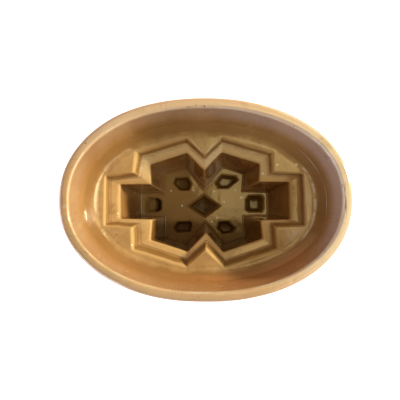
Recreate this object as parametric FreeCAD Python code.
import FreeCAD, Part

import math
import os

# Oval glazed earthenware food mould: a deep oval bowl with an inner ledge and a stepped,
# star-shaped well that shapes the pudding. Millimetres, +Z up. The origin is the centre
# of the foot ring's resting plane. +X runs along the long axis of the oval.

Vector = FreeCAD.Vector

# ---------------------------------------------------------------- driving dimensions
HEIGHT = 96.0               # foot plane to the flat land on top of the lip
HALF_LENGTH = 102.9         # widest half length, at the lip
HALF_WIDTH = 71.5           # half width that goes with it at full height
OVAL_POWER = 2.14           # superellipse exponent of the oval in plan
ROUND_POINTS = 48           # interpolation points round each oval
WIDTH_DROP = HALF_LENGTH - HALF_WIDTH
FOOT_EXTRA = 4.0            # half width gained at the foot, fading to none at the top

GLAZE = 0.4                 # thickness of the glaze coats
OUTER_SIDE = 0.45           # outer coat measured horizontally on the leaning wall
GLAZE_LINE_Z = 7.0          # the outer coat is wiped off below this height
GLAZE_LINE_LENGTH = 68.3    # half length there
SEAM_Z = 88.0               # where the lip coat laps down to the outer coat
SEAM_LENGTH = 100.3         # half length there

# ---------------------------------------------------------------- outside: (height, half length)
# Glazed wall, from the glaze line up to the seam.
WALL = [
    (GLAZE_LINE_Z, GLAZE_LINE_LENGTH), (20.0, 75.5), (35.0, 82.8), (50.0, 89.0),
    (65.0, 94.2), (78.0, 97.9), (SEAM_Z, SEAM_LENGTH),
]
# Glazed rounded lip, from the seam up to the outer edge of the flat land.
LIP = [
    (SEAM_Z, SEAM_LENGTH), (90.0, 101.5), (91.5, 102.45), (93.0, HALF_LENGTH),
    (94.3, 102.7), (95.2, 102.1), (95.75, 101.3), (HEIGHT, 100.4),
]
# Lip coat at each LIP station: (down, inwards) from the glazed surface to the clay.
LIP_COAT = [
    (0.0, OUTER_SIDE), (0.0, OUTER_SIDE), (0.0, 0.42), (0.0, 0.4),
    (0.15, 0.38), (0.3, 0.3), (0.37, 0.18), (GLAZE, 0.1),
]
# Bare foot ring.
FOOT = [
    (0.0, 66.5), (0.9, 67.4), (4.5, 67.5),
    (GLAZE_LINE_Z, GLAZE_LINE_LENGTH - OUTER_SIDE),
]

# Recess inside the foot ring: (height, half length, half width).
RECESS_DEPTH = 4.0
RECESS = [(0.0, 60.5, 33.6), (RECESS_DEPTH, 59.0, 32.1)]
UNDERSIDE_PATCH = (57.6, 30.7)      # half length, half width

# ---------------------------------------------------------------- cavity
# Bowl, from the lip down: (height, half length, half width, plan exponent).
LEDGE_Z = 69.0
BOWL = [
    (HEIGHT, 97.7, 66.2, OVAL_POWER), (95.75, 97.1, 65.6, OVAL_POWER),
    (95.2, 96.55, 65.0, OVAL_POWER), (94.3, 96.1, 64.5, OVAL_POWER),
    (93.2, 95.8, 64.2, OVAL_POWER), (75.5, 90.3, 58.8, 2.15), (LEDGE_Z, 82.5, 51.5, 2.20),
]

# Star well: matching eighteen-sided loops of (x, y), clockwise from above, starting at
# the notch on the +Y side.
STAR_LEDGE = [
    (-0.3, 35.7), (13.0, 49.8), (52.5, 38.7), (51.9, 23.4), (75.2, 22.2), (76.4, -18.3),
    (53.5, -19.4), (55.4, -36.2), (14.3, -49.6), (0.3, -35.7), (-14.1, -49.0), (-55.0, -36.2),
    (-55.6, -19.6), (-76.6, -18.2), (-76.2, 20.7), (-54.5, 22.6), (-53.0, 38.7), (-13.5, 49.3),
]
STAR_STEP_OUT = [
    (-0.5, 32.7), (14.1, 46.0), (48.2, 36.1), (49.3, 21.6), (73.2, 20.3), (73.6, -15.6),
    (51.5, -16.1), (51.2, -32.8), (15.6, -45.5), (0.9, -29.8), (-14.3, -44.8), (-50.2, -32.4),
    (-51.5, -16.3), (-74.0, -15.5), (-74.2, 18.0), (-50.6, 20.1), (-47.4, 35.9), (-14.4, 45.4),
]
STAR_STEP_IN = [
    (-0.5, 25.4), (13.1, 39.5), (43.0, 30.7), (42.2, 16.3), (65.9, 16.5), (66.2, -13.0),
    (43.3, -13.6), (45.0, -27.8), (13.9, -38.5), (0.7, -23.2), (-13.7, -38.2), (-42.4, -29.0),
    (-41.0, -13.0), (-66.4, -12.5), (-66.5, 14.5), (-42.3, 14.4), (-43.0, 30.0), (-13.9, 39.0),
]
STAR_BASE = [
    (-0.5, 14.3), (16.0, 34.0), (34.5, 28.2), (33.3, 12.4), (55.4, 12.0), (55.5, -9.4),
    (34.2, -9.8), (35.2, -27.2), (16.7, -33.2), (0.7, -14.4), (-16.1, -33.6), (-34.5, -27.7),
    (-34.4, -9.8), (-55.6, -9.6), (-55.7, 10.5), (-34.6, 10.3), (-34.5, 27.9), (-15.3, 32.7),
]
STEP_OUT_Z = 62.0           # bottom of the riser under the ledge
STEP_IN_Z = 61.0            # the tread falls a little towards the well
BASE_Z = 21.0               # bottom of the deep wall
FLOOR_Z = 19.0              # floor of the well
FLOOR_STEP = 1.2            # width of the small step at the foot of the deep wall

# Typical slope of each surface, as (run inwards, run down).
LEVEL = (1.0, 0.0)
RISER = (3.5, LEDGE_Z - STEP_OUT_Z)
TREAD = (8.0, STEP_OUT_Z - STEP_IN_Z)
DEEP_WALL = (9.5, STEP_IN_Z - BASE_Z)
CHAMFER = (1.0, 0.8)
FACET_WALL = (3.0, 6.0)

# How far each cutter runs up into the space above it, so that they overlap.
LEDGE_OVERLAP = 3.0
FLOOR_OVERLAP = 1.0
FACET_OVERLAP = 0.8
MOUTH_OVERLAP = 2.0

# Facets sunk in the floor: (rim outline, (x scale, y scale, height) of the flat bottom).
CENTRE = (0.66, 0.66, 14.0)
CORNER = (0.57, 0.56, 12.0)
END = (0.46, 0.58, 12.0)
FACETS = [
    ([(-16.9, -1.2), (-1.1, 10.9), (15.6, -0.5), (0.2, -11.8)], CENTRE),
    ([(14.2, 28.1), (28.2, 26.3), (30.6, 22.0), (21.4, 14.2), (10.9, 14.0), (7.6, 19.9)], CORNER),
    ([(9.6, -20.3), (15.4, -26.4), (24.8, -24.8), (28.4, -20.2), (21.0, -12.9),
      (11.6, -13.3)], CORNER),
    ([(-10.2, 19.2), (-14.2, 26.0), (-27.0, 25.0), (-29.4, 19.0), (-22.6, 11.9),
      (-12.4, 12.0)], CORNER),
    ([(-9.6, -15.4), (-12.0, -12.9), (-24.6, -13.4), (-29.0, -20.4), (-25.0, -25.0),
      (-11.2, -24.2)], CORNER),
    ([(35.0, 5.4), (38.0, 9.3), (50.1, 9.5), (52.8, 7.0), (52.9, -3.4), (50.8, -6.9),
      (38.6, -7.1), (35.0, -4.8)], END),
    ([(-36.4, -4.3), (-40.0, -7.2), (-50.2, -7.1), (-52.9, -4.3), (-53.0, 4.5), (-50.4, 7.9),
      (-40.4, 7.8), (-36.4, 4.3)], END),
]


# ---------------------------------------------------------------- geometry helpers
def oval(z, half_length, half_width, power=OVAL_POWER):
    """Closed superellipse wire at height z."""
    points = []
    for i in range(ROUND_POINTS):
        angle = 2.0 * math.pi * i / ROUND_POINTS
        c, s = math.cos(angle), math.sin(angle)
        radius = (abs(c) ** power + abs(s) ** power) ** (-1.0 / power)
        points.append(Vector(half_length * radius * c, half_width * radius * s, z))
    curve = Part.BSplineCurve()
    curve.interpolate(Points=points, PeriodicFlag=True)
    return Part.Wire([curve.toShape()])


def outside_solid(sections, side=0.0, ruled=False):
    """Solid through (height, half length) sections, each drawn in by side."""
    wires = []
    for z, half_length in sections:
        half_width = half_length - WIDTH_DROP + FOOT_EXTRA * (1.0 - z / HEIGHT)
        wires.append(oval(z, half_length - side, half_width - side))
    return Part.makeLoft(wires, True, ruled)


def polygon(outline, z):
    corners = [Vector(x, y, z) for x, y in outline]
    return Part.makePolygon(corners + [corners[0]])


def frustum(low, low_z, high, high_z):
    """Solid between two polygons that have the same number of corners."""
    return Part.makeLoft([polygon(low, low_z), polygon(high, high_z)], True, True)


def signed_area(outline):
    """Positive for a counter-clockwise outline."""
    pairs = zip([outline[-1]] + outline[:-1], outline)
    return 0.5 * sum(x0 * y1 - x1 * y0 for (x0, y0), (x1, y1) in pairs)


def side_normal(start, end, sign):
    dx, dy = end[0] - start[0], end[1] - start[1]
    length = math.hypot(dx, dy)
    return sign * dy / length, -sign * dx / length


def grown(outline, distance):
    """Outline with every side moved outwards by distance, corners mitred."""
    sign = 1.0 if signed_area(outline) > 0 else -1.0
    result = []
    for i, corner in enumerate(outline):
        x0, y0 = side_normal(outline[i - 1], corner, sign)
        x1, y1 = side_normal(corner, outline[(i + 1) % len(outline)], sign)
        k = distance / (1.0 + x0 * x1 + y0 * y1)
        result.append((corner[0] + k * (x0 + x1), corner[1] + k * (y0 + y1)))
    return result


def drawn_in(outline, x_scale, y_scale):
    """Outline scaled about the mean of its corners."""
    centre_x = sum(x for x, y in outline) / len(outline)
    centre_y = sum(y for x, y in outline) / len(outline)
    return [(centre_x + x_scale * (x - centre_x), centre_y + y_scale * (y - centre_y))
            for x, y in outline]


def mitre(run_above, run_below, coat):
    """Shift (outwards, down) of the profile corner between two slopes under a coat."""
    def normal(run):
        length = math.hypot(*run)
        return run[1] / length, run[0] / length

    out0, down0 = normal(run_above)
    out1, down1 = normal(run_below)
    k = coat / (1.0 + out0 * out1 + down0 * down1)
    return k * (out0 + out1), k * (down0 + down1)


# ---------------------------------------------------------------- cavity cutters
# coat = 0 gives the finished surface; otherwise the cutter is larger by the coat.
def bowl_solids(coat, mouth_overlap):
    """Rounded inner lip, steep wall and cove down to the ledge."""
    runs = [LEVEL]
    for upper, lower in zip(BOWL, BOWL[1:]):
        runs.append((upper[1] - lower[1], upper[0] - lower[0]))
    runs.append(LEVEL)
    sections = []
    for i, (z, half_length, half_width, power) in enumerate(BOWL):
        out, down = mitre(runs[i], runs[i + 1], coat)
        sections.append((z - down, half_length + out, half_width + out, power))
    solids = [Part.makeLoft([oval(*section) for section in sections], True, True)]
    if mouth_overlap:
        mouth = Part.Face(oval(*sections[0]))
        solids.append(mouth.extrude(Vector(0, 0, mouth_overlap)))
    return solids


def stepped_solids(stations, slopes, top_z, coat):
    """Frustums through (outline, outset, height) stations, top down, with a prism up to top_z.

    slopes are those of the surfaces between the stations; both ends are level.
    """
    runs = [LEVEL] + slopes + [LEVEL]
    sections = []
    for i, (outline, outset, z) in enumerate(stations):
        out, down = mitre(runs[i], runs[i + 1], coat)
        sections.append((grown(outline, outset + out), z - down))
    rim, rim_z = sections[0]
    solids = [frustum(rim, rim_z, rim, top_z)]
    for upper, lower in zip(sections, sections[1:]):
        solids.append(frustum(*lower, *upper))
    return solids


def well_solids(coat):
    stations = [
        (STAR_LEDGE, 0.0, LEDGE_Z), (STAR_STEP_OUT, 0.0, STEP_OUT_Z),
        (STAR_STEP_IN, 0.0, STEP_IN_Z), (STAR_BASE, 0.0, BASE_Z),
    ]
    slopes = [RISER, TREAD, DEEP_WALL]
    solids = stepped_solids(stations, slopes, LEDGE_Z + LEDGE_OVERLAP, coat)
    floor = grown(STAR_BASE, -FLOOR_STEP + coat)
    solids.append(frustum(floor, FLOOR_Z - coat, floor, BASE_Z + FLOOR_OVERLAP))
    return solids


def facet_solids(rim, bottom, coat):
    """Shallow chamfer, then a steep wall to a flat bottom."""
    x_scale, y_scale, bottom_z = bottom
    inset, drop = CHAMFER
    stations = [
        (rim, 0.0, FLOOR_Z), (rim, -inset, FLOOR_Z - drop),
        (drawn_in(rim, x_scale, y_scale), 0.0, bottom_z),
    ]
    return stepped_solids(stations, [CHAMFER, FACET_WALL], FLOOR_Z + FACET_OVERLAP, coat)


def cavity(coat, mouth_overlap):
    solids = bowl_solids(coat, mouth_overlap) + well_solids(coat)
    for rim, bottom in FACETS:
        solids += facet_solids(rim, bottom, coat)
    return solids[0].multiFuse(solids[1:]).removeSplitter()


# ---------------------------------------------------------------- pieces
def lip_clay_solid():
    sections = [(z - down, half_length - inwards)
                for (z, half_length), (down, inwards) in zip(LIP, LIP_COAT)]
    return outside_solid(sections, ruled=True)


def make_clay_body(wall_clay, lip_clay, clay_void):
    foot = outside_solid(FOOT, ruled=True)
    recess = Part.makeLoft([oval(*section) for section in RECESS], True, True)
    return foot.fuse([wall_clay, lip_clay]).cut([clay_void, recess])


def make_inside_glaze(lip_clay, clay_void):
    """Coat of the cavity and of the lip, down to the seam outside."""
    lip_shell = outside_solid(LIP, ruled=True).cut(lip_clay)
    return lip_shell.fuse(clay_void).cut(cavity(0.0, MOUTH_OVERLAP))


def make_outside_glaze(wall_clay):
    return outside_solid(WALL).cut(wall_clay)


def make_underside_glaze():
    """Patch under the roof of the foot recess."""
    patch = Part.Face(oval(RECESS_DEPTH - GLAZE, *UNDERSIDE_PATCH))
    return patch.extrude(Vector(0, 0, GLAZE))


def export(name, shape):
    shape = shape.removeSplitter()
    solids = shape.Solids
    piece = solids[0] if len(solids) == 1 else Part.makeCompound(solids)
    piece.exportStep("parts/" + name + ".step")


wall_clay = outside_solid(WALL, OUTER_SIDE)
lip_clay = lip_clay_solid()
clay_void = cavity(GLAZE, 0.0)

os.makedirs("parts", exist_ok=True)
export("clay_body", make_clay_body(wall_clay, lip_clay, clay_void))
export("inside_glaze", make_inside_glaze(lip_clay, clay_void))
export("outside_glaze", make_outside_glaze(wall_clay))
export("underside_glaze", make_underside_glaze())
